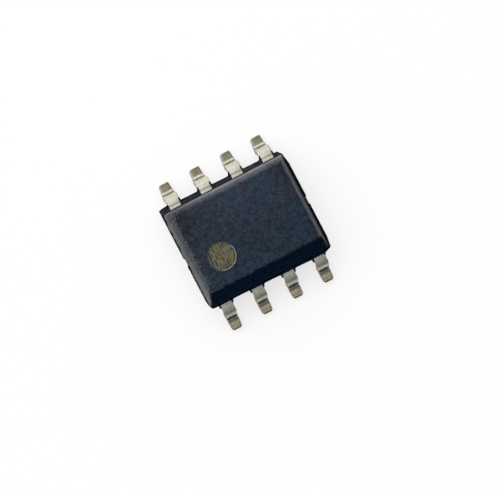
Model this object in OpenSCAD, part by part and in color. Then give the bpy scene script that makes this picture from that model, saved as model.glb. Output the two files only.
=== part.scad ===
// Integrated circuit in an eight-lead small-outline package.
// X runs along the body, Y across the lead rows, and Z up from the plane that the feet rest on.
// Lead 1 is at the left of the front row, and the numbers run anticlockwise seen from above.

/* [Moulded body] */
// Width of the body across the lead rows, at the parting plane
body_width = 3.9; // [3.5:0.05:4.6]
// From the outer lead's centre line to the body's end
end_margin = 0.565; // [0.45:0.005:0.8]
// Moulding above the lead frame
cap_height = 0.625; // [0.5:0.005:0.85]
// Moulding below the lead frame
base_height = 0.625; // [0.5:0.005:0.85]
// Gap under the body
standoff = 0.15; // [0.1:0.01:0.25]
// Lean of the walls from upright, in degrees
draft_angle = 17; // [6:1:20]
// Rounding of the top and bottom edges
edge_radius = 0.14; // [0.06:0.02:0.16]
// Rounding of the upright corners at the parting plane
corner_radius = 0.1; // [0.05:0.01:0.2]
// Straight band between the upper and lower walls, at the parting plane
parting_land = 0.1; // [0.06:0.01:0.14]
// Width of the 45 degree bevel along the lead 1 side
bevel = 0.32; // [0.15:0.01:0.42]

/* [Moulding flash] */
// Flash beyond each end of the body
end_flash = 0.06; // [0.03:0.01:0.15]
// Flash between the leads of the back row
back_flash = 0.17; // [0.03:0.01:0.22]
// Flash between the leads of the front row
front_flash = 0.03; // [0.02:0.01:0.15]
// Flash left standing on the sides of a lead's root
flash_skin = 0.04; // [0.02:0.005:0.06]
// How far that skin climbs past the flash, on its way out along the lead
skin_climb = 0.12; // [0.04:0.01:0.16]
// Rounding where the flash turns out along a lead
flash_fillet = 0.08; // [0.03:0.01:0.1]

/* [Round marks] */
// Diameter of the pin 1 mark
mark_diameter = 1.08; // [0.6:0.02:1.2]
// Depth of the pin 1 mark
mark_depth = 0.03; // [0.02:0.01:0.06]
// From the body's left end to the middle of the pin 1 mark
mark_from_end = 1.19; // [1:0.01:1.4]
// From the body's front to the middle of the pin 1 mark
mark_from_front = 1.53; // [1.3:0.01:1.8]
// Diameter of each ejector pin mark on the underside
ejector_diameter = 0.8; // [0.5:0.05:1]
// Depth of the ejector pin marks
ejector_depth = 0.03; // [0.02:0.01:0.06]
// Distance between the ejector pin marks
ejector_spacing = 2.4; // [1.6:0.1:2.8]

/* [Leads] */
// Distance between neighbouring leads
lead_pitch = 1.27; // [1.1:0.01:1.5]
// Thickness of the lead frame strip
lead_thickness = 0.2; // [0.15:0.01:0.25]
// Width of the foot at its toe
foot_width = 0.4; // [0.31:0.01:0.44]
// Width of the lead at the heel bend
heel_width = 0.45; // [0.4:0.01:0.5]
// Width of the lead where it leaves the body
root_width = 0.46; // [0.4:0.01:0.5]
// Width over the stubs of the trimmed dam bar
stub_width = 0.54; // [0.5:0.01:0.6]
// From the body to the dam bar stubs
stub_start = 0.3; // [0.26:0.01:0.36]
// Length of the dam bar stubs
stub_length = 0.2; // [0.1:0.01:0.24]
// Flat shoulder between the body and the upper bend
shoulder = 0.2; // [0.1:0.01:0.4]
// Inside radius of the upper bend
bend_radius = 0.15; // [0.1:0.01:0.2]
// Inside radius of the heel bend
heel_radius = 0.12; // [0.08:0.01:0.18]
// Slope of the leg, in degrees from level
leg_angle = 80; // [70:1:88]
// Flat length of the foot
foot_length = 0.32; // [0.2:0.01:0.6]
// Corner cut of the toe, seen from above
toe_corner = 0.05; // [0.02:0.01:0.08]

/* [Lead frame inside] */
// Width of the die paddle
paddle_width = 1.9; // [1.6:0.05:2.2]
// Tie bar from the body's end to the paddle
tie_bar_length = 1.1; // [0.9:0.05:1.3]
// Width of the tie bars
tie_bar_width = 0.3; // [0.2:0.01:0.4]
// How far a cut tie bar stands out of the body's end
tie_bar_stub = 0.02; // [0.01:0.005:0.03]
// Room left in the flash on each side of a cut tie bar
tie_bar_room = 0.03; // [0.02:0.01:0.08]
// How far the paddle lies below the leads
downset = 0.15; // [0.1:0.01:0.25]
// Length of the slope in each tie bar
downset_run = 0.25; // [0.15:0.01:0.4]
// Gap between the paddle and the lead tips
tip_gap = 0.2; // [0.12:0.01:0.25]
// Width of a lead's inner tip
tip_width = 0.7; // [0.6:0.01:0.8]
// Length of a lead's inner tip
tip_length = 0.36; // [0.3:0.01:0.42]

/* [Die and wires] */
// Length of the die
die_length = 1.7; // [1.2:0.05:2]
// Width of the die
die_width = 1.3; // [1:0.05:1.5]
// Thickness of the die
die_thickness = 0.25; // [0.15:0.01:0.3]
// Thickness of the die attach layer
attach_thickness = 0.03; // [0.02:0.005:0.05]
// Die attach squeezed out past the die's edge
attach_margin = 0.06; // [0.03:0.01:0.12]
// From the die's edge to the middle of the bond pads
pad_inset = 0.1; // [0.06:0.01:0.16]
// Diameter of the bond wires
wire_diameter = 0.03; // [0.02:0.005:0.04]
// Diameter of the ball where a wire starts
ball_diameter = 0.08; // [0.06:0.005:0.1]
// Height of the ball
ball_height = 0.03; // [0.02:0.005:0.04]
// Pull of the wire upwards as it leaves the ball
loop_pull = 0.36; // [0.2:0.01:0.45]
// Length of the flattened stitch on the lead
stitch_length = 0.1; // [0.06:0.01:0.14]
// Width of the stitch
stitch_width = 0.06; // [0.04:0.005:0.08]
// Thickness of the stitch
stitch_thickness = 0.014; // [0.01:0.002:0.02]
// From the lead's inner end to the start of the stitch
stitch_inset = 0.14; // [0.1:0.01:0.18]

/* [Hidden] */
$fn = 32;
leads_per_side = 4;
lead_count = 2 * leads_per_side;
bend_steps = 8;
wire_sides = 8;
wire_steps = 12;
// Overshoot of a cutting tool past the face that it opens
cut = 0.5;

// Body
body_length = (leads_per_side - 1) * lead_pitch + 2 * end_margin;
half_width = body_width / 2;
frame_bottom = standoff + base_height;
frame_top = frame_bottom + lead_thickness;
body_top = frame_top + cap_height;
// A faceted ball's flat poles lie this far from its middle
ball_pole = edge_radius * cos(180 / $fn);
// Height of the leaning walls, above and below the straight band
cap_wall = cap_height + (lead_thickness - parting_land) / 2;
base_wall = base_height + (lead_thickness - parting_land) / 2;
top_edge = half_width - cap_wall * tan(draft_angle);

// Lead, with Y measured outwards from the middle of the package
tip_y = paddle_width / 2 + tip_gap;
outer_bend = bend_radius + lead_thickness;
bend_y = half_width + shoulder;
bend_z = frame_top - outer_bend;
heel_z = lead_thickness + heel_radius;
leg_drop = bend_z - heel_z + (outer_bend + heel_radius) * cos(leg_angle);
heel_y = bend_y + (outer_bend + heel_radius) * sin(leg_angle) + leg_drop / tan(leg_angle);
toe_y = heel_y + foot_length;
stub_y = half_width + stub_start;
stub_end_y = stub_y + stub_length;

// Paddle, die and wires
paddle_length = body_length - 2 * tie_bar_length;
paddle_top = frame_top - downset;
die_bottom = paddle_top + attach_thickness;
die_top = die_bottom + die_thickness;
pad_pitch = (die_length - 2 * pad_inset) / (leads_per_side - 1);
pad_y = die_width / 2 - pad_inset;
stitch_y = tip_y + stitch_inset;

// Side of a lead: -1 for the front row, 1 for the back row
function row(i) = i <= leads_per_side ? -1 : 1;

// Steps of a lead from the middle of its row, towards +X
function step_along(i) =
    row(i) < 0 ? i - (leads_per_side + 1) / 2 : (lead_count + leads_per_side + 1) / 2 - i;

function lead_x(i) = step_along(i) * lead_pitch;
function pad_x(i) = step_along(i) * pad_pitch;

// Points of an arc, from one angle to another
function arc(middle, radius, from, to) = [
    for (k = [0:bend_steps])
    let (a = from + (to - from) * k / bend_steps)
    middle + radius * [cos(a), sin(a)]
];

// Moulded body

// A wall's lean carried up to the start of the edge rounding, and the ball that rounds the edge
function ball_inset(height) =
    (height - edge_radius) * tan(draft_angle) + edge_radius / cos(draft_angle);

module edge_balls(height, z) {
    inset = ball_inset(height);
    for (sx = [-1, 1])
        for (sy = [-1, 1])
            translate([sx * (body_length / 2 - inset), sy * (half_width - inset), z])
                sphere(r = edge_radius);
}

module parting_slab() {
    translate([0, 0, standoff + base_wall])
        linear_extrude(parting_land)
            offset(r = corner_radius)
                square([body_length - 2 * corner_radius, body_width - 2 * corner_radius], center = true);
}

module bevel_cutter() {
    translate([0, bevel - top_edge, body_top])
        rotate([45, 0, 0])
            translate([-body_length / 2 - cut, -body_width / 2, 0])
                cube([body_length + 2 * cut, body_width, cap_height]);
}

module body_core() {
    difference() {
        hull() {
            parting_slab();
            edge_balls(cap_wall, body_top - ball_pole);
            edge_balls(base_wall, standoff + ball_pole);
        }
        bevel_cutter();
    }
}

// Flash on the sides of one lead's root
module root_skin(i, reach) {
    width = root_width + 2 * flash_skin;
    translate([lead_x(i) - width / 2, row(i) < 0 ? -half_width - reach : half_width])
        square([width, reach]);
}

module flash_outline() {
    width = body_width + front_flash + back_flash;
    difference() {
        offset(r = -flash_fillet)
            offset(delta = flash_fillet) {
                translate([-body_length / 2 - end_flash, -half_width - front_flash])
                    square([body_length + 2 * end_flash, width]);
                for (i = [1:lead_count])
                    root_skin(i, (row(i) < 0 ? front_flash : back_flash) + skin_climb);
            }
        for (side = [-1, 1])
            translate([side * (body_length / 2 + end_flash), 0])
                square([2 * (end_flash + tie_bar_room), tie_bar_width + 2 * tie_bar_room], center = true);
    }
}

module flash() {
    translate([0, 0, frame_bottom])
        linear_extrude(lead_thickness)
            flash_outline();
}

// The pin 1 mark's side slopes at 45 degrees, and the ejector pin marks have upright sides
module round_marks() {
    translate([mark_from_end - body_length / 2, mark_from_front - half_width, body_top - mark_depth])
        cylinder(d1 = mark_diameter - 2 * mark_depth, d2 = mark_diameter + 2 * cut, h = mark_depth + cut);
    for (side = [-1, 1])
        translate([side * ejector_spacing / 2, 0, standoff - cut])
            cylinder(d = ejector_diameter, h = ejector_depth + cut);
}

module mold_body() {
    color([0.17, 0.19, 0.24])
        difference() {
            union() {
                body_core();
                flash();
            }
            round_marks();
            die_paddle();
            die_attach();
            silicon_die();
            for (i = [1:lead_count]) {
                lead(i);
                bond_wire(i);
            }
        }
}

// Leads

// The formed strip seen from the side, as [Y, Z]
module lead_side() {
    bend = [bend_y, bend_z];
    heel = [heel_y, heel_z];
    polygon(concat(
        [[tip_y, frame_top]],
        arc(bend, outer_bend, 90, 90 - leg_angle),
        arc(heel, heel_radius, 270 - leg_angle, 270),
        [[toe_y, lead_thickness], [toe_y, 0]],
        arc(heel, heel_radius + lead_thickness, 270, 270 - leg_angle),
        arc(bend, bend_radius, 90 - leg_angle, 90),
        [[tip_y, frame_bottom]]
    ));
}

// The blanked strip seen from above, as [X, Y]
module lead_plan() {
    half = [
        [tip_width / 2, tip_y],
        [tip_width / 2, tip_y + tip_length],
        [root_width / 2, tip_y + tip_length],
        [root_width / 2, stub_y],
        [stub_width / 2, stub_y],
        [stub_width / 2, stub_end_y],
        [heel_width / 2, heel_y],
        [foot_width / 2, toe_y - toe_corner],
        [foot_width / 2 - toe_corner, toe_y]
    ];
    last = len(half) - 1;
    polygon(concat(half, [for (k = [last:-1:0]) [-half[k].x, half[k].y]]));
}

module lead(i) {
    color([0.8, 0.79, 0.73])
        translate([lead_x(i), 0, 0])
            rotate([0, 0, row(i) < 0 ? 180 : 0])
                intersection() {
                    rotate([90, 0, 90])
                        linear_extrude(tip_width + 2 * cut, center = true)
                            lead_side();
                    translate([0, 0, -cut])
                        linear_extrude(frame_top + 2 * cut)
                            lead_plan();
                }
}

// Paddle and die

// One tie bar seen from the side, as [X, Z], with its step down to the paddle
module tie_bar_side() {
    end = body_length / 2 + tie_bar_stub;
    inner = paddle_length / 2;
    polygon([
        [end, frame_top],
        [inner + downset_run, frame_top],
        [inner, paddle_top],
        [inner - tie_bar_width, paddle_top],
        [inner - tie_bar_width, paddle_top - lead_thickness],
        [inner, paddle_top - lead_thickness],
        [inner + downset_run, frame_bottom],
        [end, frame_bottom]
    ]);
}

module die_paddle() {
    color([0.72, 0.46, 0.32]) {
        translate([-paddle_length / 2, -paddle_width / 2, paddle_top - lead_thickness])
            cube([paddle_length, paddle_width, lead_thickness]);
        for (turn = [0, 180])
            rotate([0, 0, turn])
                rotate([90, 0, 0])
                    linear_extrude(tie_bar_width, center = true)
                        tie_bar_side();
    }
}

module slab_on(length, width, z, thickness) {
    translate([-length / 2, -width / 2, z])
        cube([length, width, thickness]);
}

module die_attach() {
    color([0.74, 0.75, 0.78])
        slab_on(die_length + 2 * attach_margin, die_width + 2 * attach_margin, paddle_top, attach_thickness);
}

module silicon_die() {
    color([0.36, 0.38, 0.45])
        slab_on(die_length, die_width, die_bottom, die_thickness);
}

// Bond wires

// Point on the loop, as [run, Z]: straight up from the ball, level where it lands
function loop_point(run, t) =
    let (
        start = [0, die_top + ball_height],
        landing = [run, frame_top + wire_diameter / 2],
        rise = start + [0, loop_pull],
        glide = landing - [run / 2, 0]
    )
    pow(1 - t, 3) * start + 3 * t * pow(1 - t, 2) * rise + 3 * pow(t, 2) * (1 - t) * glide + pow(t, 3) * landing;

// Slope of the loop, in degrees from level
function loop_slope(run, t) =
    let (
        before = loop_point(run, max(t - 0.01, 0)),
        after = loop_point(run, min(t + 0.01, 1)),
        way = after - before
    )
    t == 0 ? 90 : t == 1 ? 0 : atan2(way.y, way.x);

// Rings along a wire, each as [run, Z, slope, height, width]
function wire_rings(run) = concat(
    [
        [0, die_top, 90, ball_diameter, ball_diameter],
        [0, die_top + ball_height / 2, 90, ball_diameter, ball_diameter]
    ],
    [
        for (k = [0:wire_steps])
        let (t = k / wire_steps, p = loop_point(run, t))
        [p.x, p.y, loop_slope(run, t), wire_diameter, wire_diameter]
    ],
    [
        for (k = [0.5, 1])
        [run + k * stitch_length, frame_top + stitch_thickness / 2, 0, stitch_thickness, stitch_width]
    ]
);

// Corners of one ring, in the upright plane that turns with the wire
function ring_points(ring, from, heading) = [
    for (k = [0:wire_sides - 1])
    let (
        a = (k + 0.5) * 360 / wire_sides,
        flat = 2 * cos(180 / wire_sides),
        up = ring[3] / flat * cos(a),
        across = ring[4] / flat * sin(a),
        run = ring[0] - up * sin(ring[2])
    )
    [
        from.x + run * cos(heading) - across * sin(heading),
        from.y + run * sin(heading) + across * cos(heading),
        ring[1] + up * cos(ring[2])
    ]
];

module swept_wire(from, to) {
    way = to - from;
    rings = wire_rings(norm(way));
    heading = atan2(way.y, way.x);
    last = len(rings) - 1;
    side = [for (k = [0:wire_sides - 1]) k];
    polyhedron(
        points = [for (ring = rings) each ring_points(ring, from, heading)],
        faces = concat(
            [[for (k = side) k]],
            [[for (k = side) (last + 1) * wire_sides - 1 - k]],
            [
                for (r = [0:last - 1])
                for (k = side)
                let (
                    a = r * wire_sides + k,
                    b = r * wire_sides + (k + 1) % wire_sides
                )
                each [[a, a + wire_sides, b], [b, a + wire_sides, b + wire_sides]]
            ]
        )
    );
}

module bond_wire(i) {
    color([0.86, 0.68, 0.3])
        swept_wire([pad_x(i), row(i) * pad_y], [lead_x(i), row(i) * stitch_y]);
}

// Drawing

mold_body();
die_paddle();
die_attach();
silicon_die();
for (i = [1:lead_count]) {
    lead(i);
    bond_wire(i);
}
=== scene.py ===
"""Finished look of an eight-lead small-outline integrated circuit, built around its CAD frame."""

import math
import random

import bmesh
import bpy
from bpy.props import FloatProperty, FloatVectorProperty, PointerProperty
from bpy.types import Operator, Panel, PropertyGroup
from mathutils import Matrix, Vector


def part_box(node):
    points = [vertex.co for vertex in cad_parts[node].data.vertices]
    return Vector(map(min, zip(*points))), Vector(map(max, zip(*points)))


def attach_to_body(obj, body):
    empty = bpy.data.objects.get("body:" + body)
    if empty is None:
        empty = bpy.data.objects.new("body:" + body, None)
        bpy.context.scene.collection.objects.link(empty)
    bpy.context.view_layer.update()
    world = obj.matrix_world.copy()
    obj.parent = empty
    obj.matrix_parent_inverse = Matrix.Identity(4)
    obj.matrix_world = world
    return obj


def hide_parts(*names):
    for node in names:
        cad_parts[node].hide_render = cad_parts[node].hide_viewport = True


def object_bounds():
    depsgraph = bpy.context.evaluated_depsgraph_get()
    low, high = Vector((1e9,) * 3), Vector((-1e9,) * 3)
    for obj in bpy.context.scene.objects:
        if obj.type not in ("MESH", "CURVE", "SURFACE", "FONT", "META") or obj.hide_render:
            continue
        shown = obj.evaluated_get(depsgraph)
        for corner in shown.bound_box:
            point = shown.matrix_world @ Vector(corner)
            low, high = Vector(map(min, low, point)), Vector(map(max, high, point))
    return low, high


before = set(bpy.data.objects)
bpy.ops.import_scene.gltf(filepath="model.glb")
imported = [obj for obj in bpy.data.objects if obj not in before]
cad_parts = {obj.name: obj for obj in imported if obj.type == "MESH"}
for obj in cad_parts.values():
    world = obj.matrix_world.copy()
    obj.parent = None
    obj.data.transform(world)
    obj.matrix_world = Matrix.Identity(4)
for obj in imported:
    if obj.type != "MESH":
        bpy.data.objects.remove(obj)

bl_info = {
    "name": "Small-Outline Chip",
    "version": (1, 0, 0),
    "blender": (4, 5, 0),
    "location": "View3D > Sidebar > Chip",
    "description": "Moulded body, formed leads and inner pieces of an eight-lead small-outline package",
    "category": "Add Mesh",
}

# Shapes are worked out in millimetres and put into the scene in metres
MM = 0.001
CAD_BOX = [list(corner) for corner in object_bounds()]
BODY_LOW, BODY_HIGH = (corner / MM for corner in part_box("mold_body"))
LEAD_LOW, LEAD_HIGH = (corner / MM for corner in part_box("lead_1"))
LEAD_NODES = [f"lead_{i}" for i in range(1, 9)]
WIRE_NODES = [f"bond_wire_{i}" for i in range(1, 9)]
FRAME_TOP = LEAD_HIGH.z
IMAGE_SIZE = (500, 490)


def number(name, description, value, low=0.0, **kind):
    return FloatProperty(name=name, description=description, default=value, min=low, **kind)


def length(name, description, millimetres):
    """A length of the package, kept in metres."""
    return number(name, description, millimetres * MM, precision=6, unit="LENGTH")


def angle(name, description, degrees):
    return number(name, description, math.radians(degrees), subtype="ANGLE")


def share(name, description, value):
    return number(name, description, value, max=1.0, subtype="FACTOR")


def colour(name, description, *tone):
    return FloatVectorProperty(
        name=name, description=description, default=tone, size=3, min=0.0, max=1.0, subtype="COLOR"
    )


class ChipBodySizes(PropertyGroup):
    """Sizes of the moulded body"""

    length: length("Length", "Length of the body at the parting plane", 4.94)
    width: length("Width", "Width of the body across the lead rows", 3.9)
    land: length("Parting land", "Straight band between the upper and lower walls", 0.1)
    lean: angle("Wall lean", "Lean of the walls from upright", 17.0)
    edge_radius: length("Edge radius", "Rounding of the top and bottom edges", 0.14)
    corner_radius: length("Corner radius", "Rounding of the upright corners", 0.1)
    bevel: length("Bevel", "Width of the 45 degree bevel along the lead 1 side", 0.32)
    bevel_radius: length("Bevel edge radius", "Rounding of the bevel's two long edges", 0.05)
    end_flash: length("End flash", "Flash beyond each end", 0.06)
    back_flash: length("Back flash", "Flash between the leads of the back row", 0.17)
    front_flash: length("Front flash", "Flash between the leads of the front row", 0.042)
    flash_skin: length("Flash skin", "Flash left standing on the sides of a lead's root", 0.05)
    skin_climb: length("Skin climb", "How far that skin climbs past the flash", 0.12)
    near_fillet: length("Near fillet", "Rounding where the flash meets the near side of a lead", 0.035)
    far_fillet: length("Far fillet", "Rounding where the flash meets the far side of a lead", 0.09)
    flash_sink: length("Flash sink", "How far the flash lies below the lead's own faces", 0.008)
    flash_edge: length("Flash edge", "Rounding of the flash's edges", 0.012)
    flash_tear: length("Flash tear", "Unevenness of the flash's broken edge", 0.006)
    notch_width: length("Notch width", "Gap in the end flash at a cut tie bar", 0.32)
    front_skew: share("Front skew", "How much the front flash grows along the body", 0.024)
    back_skew: share("Back skew", "How much the back flash shrinks along the body", 0.012)
    corner_cut: length("Corner cut", "Corner missing from the flash at the back right", 0.14)
    front_cut: length("Front corner cut", "Corners missing from the flash at the front", 0.055)
    left_corner: length("Left corner", "Further reach of the flash beside the last back lead", 0.035)
    right_taper: length("Right taper", "How far the right end's flash narrows towards the back", 0.066)
    # The crept resin over the lead roots also stands as painted shade where the leads leave the body
    front_bleed: length("Front bleed", "Resin that crept out over the roots of the front leads", 0.06)
    back_bleed: length("Back bleed", "Resin that crept out over the root of the last back lead", 0.012)
    bleed_height: length("Bleed height", "How far that resin climbs the wall above a lead", 0.1)


class ChipMarkSizes(PropertyGroup):
    """Sizes of the marks in the moulding"""

    diameter: length("Diameter", "Diameter of the pin 1 mark", 1.08)
    depth: length("Depth", "Depth of the pin 1 mark", 0.03)
    from_end: length("From end", "From the body's left end to the middle of the pin 1 mark", 1.19)
    from_front: length("From front", "From the body's front to the middle of the pin 1 mark", 1.53)
    line_pitch: length("Line pitch", "Distance between the lines that the laser leaves", 0.102)
    line_height: length("Line height", "Depth of those lines", 0.012)
    ejector_diameter: length("Ejector diameter", "Diameter of the ejector pin marks below", 0.8)
    ejector_depth: length("Ejector depth", "Depth of the ejector pin marks", 0.03)
    ejector_spacing: length("Ejector spacing", "Distance between the ejector pin marks", 2.4)


class ChipLeadSizes(PropertyGroup):
    """Sizes of the formed leads"""

    thickness: length("Thickness", "Thickness of the lead frame strip", 0.2)
    tip_width: length("Tip width", "Width of the inner tip", 0.7)
    tip_length: length("Tip length", "Length of the inner tip", 0.36)
    root_width: length("Root width", "Width where the lead leaves the body", 0.46)
    stub_width: length("Stub width", "Width over the stubs of the trimmed dam bar", 0.54)
    near_trim: length("Near trim", "How much closer the dam bar was cut on the left of the front leads", 0.02)
    far_trim: length("Far trim", "How much closer the dam bar was cut on the right of the front leads", 0.035)
    stub_nick: length("Stub nick", "How far the leg of a front lead draws in behind its stubs", 0.022)
    stub_start: length("Stub start", "From the body to the dam bar stubs", 0.3)
    stub_length: length("Stub length", "Length of the dam bar stubs", 0.2)
    foot_slim: length("Foot slim", "How much closer the feet of the front row were cut on the right", 0.013)
    heel_width: length("Heel width", "Width at the heel bend", 0.45)
    foot_width: length("Foot width", "Width of the foot at its toe", 0.4)
    shoulder: length("Shoulder", "Flat stretch between the body and the upper bend", 0.2)
    bend_radius: length("Bend radius", "Inside radius of the upper bend", 0.15)
    heel_radius: length("Heel radius", "Inside radius of the heel bend", 0.12)
    leg_slope: angle("Leg slope", "Slope of the leg from level", 80.0)
    front_corner: length("Front corner", "Corners cut at the toes of the front row", 0.06)
    toe_corner: length("Toe corner", "Corner cut at the left of the back row's toes", 0.05)
    sharp_corner: length("Sharp corner", "Corner cut at the right of the back row's toes", 0.018)
    back_offset: length("Back offset", "How much further out the back row was bent", 0.022)
    upper_edge: length("Upper edge", "Rounding of the lead's upper edges", 0.03)
    lower_edge: length("Lower edge", "Rounding of the lead's lower edges", 0.014)
    line_from_body: length("Witness line place", "From the body to the pressed line across a lead", 0.12)
    line_fall: length("Witness line fall", "Width of the line's long slope on the body's side", 0.075)
    line_rise: length("Witness line rise", "Width of the line's short slope", 0.03)
    line_depth: length("Witness line depth", "Depth of that line", 0.008)


class ChipFinishes(PropertyGroup):
    """Colours of the materials"""

    moulding: colour("Moulding", "Dark moulding compound", 0.0175, 0.0335, 0.0535)
    moulding_tint: colour("Moulding tint", "Violet clouds in the compound", 0.028, 0.0315, 0.051)
    # Darker copy of the compound, used as painted shade on the bevel, the front wall and the front flash,
    # which face the dim front
    bevel: colour("Bevel", "Smooth compound of the bevel", 0.0, 0.0082, 0.0248)
    # Grey of the painted reflection of the lit floor on the body's walls and their rounded edges, also used
    # as painted light on the left end's flash
    haze: colour("Haze", "Grey haze on the body's walls and rubbed edges", 0.322, 0.327, 0.351)
    flash: colour("Flash", "Resin squeezed out at the parting plane", 0.033, 0.03, 0.036)
    # Black for the flash's dark crumbs, also used as painted shade on the body's right end, at the back
    # wall's foot, beside the pin 1 mark and on the shaded flash
    flash_black: colour("Black flash", "Bare resin at the front row and the right end", 0.003, 0.005, 0.008)
    etched: colour("Etched moulding", "Moulding that the laser has roughened", 0.165, 0.154, 0.094)
    etched_dark: colour("Etched line", "Burnt floor of a laser line", 0.014, 0.0105, 0.004)
    # Painted highlight on the lit side of the pin 1 mark's rim
    etched_rim: colour("Etched rim", "Bleached rim of the pin 1 mark", 0.25, 0.25, 0.235)
    tin: colour("Tin", "Matte tin plating", 0.57, 0.56, 0.48)
    # Darker, browner tin for the feet
    tin_dull: colour("Dull tin", "Plating gone dull on the feet", 0.42, 0.388, 0.27)
    # Brown for residue in spots and at cut toes, also used as painted shade on the legs, in the front heels
    # and on the leads' sides
    stain: colour("Stain", "Brown residue on legs, in front heels and at cut toes", 0.14, 0.115, 0.075)
    copper: colour("Copper", "Copper alloy of the lead frame", 0.3, 0.17, 0.11)
    copper_dull: colour("Dull copper", "Copper gone brown", 0.1, 0.07, 0.05)
    tie_end: colour("Tie bar end", "Cut end of a tie bar", 0.1, 0.093, 0.085)
    attach: colour("Die attach", "Silver-filled die attach", 0.55, 0.55, 0.57)
    silicon: colour("Silicon", "Face of the die", 0.09, 0.1, 0.14)
    gold: colour("Gold", "Bond wires", 0.83, 0.6, 0.22)


class ChipStageSettings(PropertyGroup):
    """Camera, floor and light"""

    distance: length("Camera distance", "From the camera to the package", 85.0)
    lens: number("Lens", "Focal length", 165.5, 10.0, unit="CAMERA")
    lean_left: angle("Lean left", "How far the camera stands towards the left end", 3.5)
    lean_front: angle("Lean front", "How far the camera stands towards the front row", 2.3)
    roll: angle("Roll", "Turn of the package in the picture", 27.4)
    aim_right: number("Aim right", "Package middle from the picture's left", 246.2, subtype="PIXEL")
    aim_down: number("Aim down", "Package middle from the picture's top", 232.8, subtype="PIXEL")
    floor: colour("Floor", "Pale floor", 0.4, 0.4, 0.4)
    floor_lift: share("Floor lift", "Light that the floor adds of itself where it is seen or mirrored", 0.7)
    sky_edge: share("Sky at the front edge", "Brightness of the studio low down at the front", 0.02)
    sky_front: share("Sky at the front", "Brightness of the studio higher up at the front", 0.3)
    sky_top: share("Sky above", "Brightness of the studio overhead", 0.5)
    sky_back: number("Sky at the back", "Brightness of the studio at the back", 1.1)
    key_power: number("Key light", "Power of the soft key light", 0.15, unit="POWER")
    key_size: length("Key size", "Side of the key light", 400.0)


class ChipSettings(PropertyGroup):
    """All settings of the package"""

    body: PointerProperty(type=ChipBodySizes)
    marks: PointerProperty(type=ChipMarkSizes)
    leads: PointerProperty(type=ChipLeadSizes)
    finishes: PointerProperty(type=ChipFinishes)
    stage: PointerProperty(type=ChipStageSettings)


class Millimetres:
    """Reads a group's lengths in millimetres."""

    def __init__(self, group):
        self.group = group

    def __getattr__(self, name):
        value = getattr(self.group, name)
        is_length = self.group.bl_rna.properties[name].unit == "LENGTH"
        return value / MM if is_length else value


# Materials

# Nearly all of a noise lies between these
NOISE = (0.3, 0.7)


def tinted(tone, factor):
    """A colour made lighter or darker."""
    return [min(1.0, factor * part) for part in tone]


class Field:
    """A number that varies over a surface, with the sums that finishes need and | for the larger of two."""

    def __init__(self, tree, socket):
        self.tree = tree
        self.socket = socket

    def __add__(self, other):
        return self.tree.work("ADD", self, other)

    def __sub__(self, other):
        return self.tree.work("SUBTRACT", self, other)

    def __mul__(self, other):
        return self.tree.work("MULTIPLY", self, other)

    def __or__(self, other):
        return self.tree.work("MAXIMUM", self, other)

    def __abs__(self):
        return self.tree.work("ABSOLUTE", self, 0.0)

    def spread(self, low, high, to_low, to_high):
        """Maps the number from one range to another, and holds it at the ends."""
        inputs = {"Value": self, "From Min": low, "From Max": high, "To Min": to_low, "To Max": to_high}
        return self.tree.field("MapRange", inputs, "Result", interpolation_type="SMOOTHSTEP")

    def rise(self, low, high, level=1.0):
        """From 0 to a level."""
        return self.spread(low, high, 0.0, level)

    def fall(self, low, high, level=1.0):
        """From a level to 0."""
        return self.spread(low, high, level, 0.0)

    def swing(self, to_low, to_high):
        """Spreads a noise, nearly all of which lies between two known values."""
        return self.spread(*NOISE, to_low, to_high)

    def band(self, low, high, soft, level):
        """A stripe of a level between two values, with soft edges."""
        return self.rise(low - soft, low + soft, level) * self.fall(high - soft, high + soft)


class Tree:
    """The nodes of a material or the world around its one shader, with short calls to add to them."""

    def __init__(self, owner, shader):
        owner.use_nodes = True
        self.nodes = owner.node_tree.nodes
        self.links = owner.node_tree.links
        self.shader = self.nodes[shader]

    def feed(self, socket, value):
        """Links a field or a node's output, or sets a constant on the socket itself."""
        if isinstance(value, Field):
            value = value.socket
        if isinstance(value, bpy.types.NodeSocket):
            self.links.new(value, socket)
        elif socket.type == "RGBA":
            socket.default_value = (*value, 1.0)
        else:
            socket.default_value = value

    def set(self, socket, value):
        self.feed(self.shader.inputs[socket], value)

    def add(self, kind, inputs, output, **settings):
        """Makes a node, feeds its inputs and gives one of its outputs."""
        node = self.nodes.new("ShaderNode" + kind)
        for name, setting in settings.items():
            setattr(node, name, setting)
        for name, value in inputs.items():
            self.feed(node.inputs[name], value)
        return node.outputs[output]

    def field(self, kind, inputs, output, **settings):
        return Field(self, self.add(kind, inputs, output, **settings))

    def work(self, operation, first, second):
        return self.field("Math", {0: first, 1: second}, "Value", operation=operation)

    def towards(self, vector, way):
        """How far a vector points one way."""
        inputs = {0: vector, 1: Vector(way).normalized()}
        return self.field("VectorMath", inputs, "Value", operation="DOT_PRODUCT")


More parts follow.
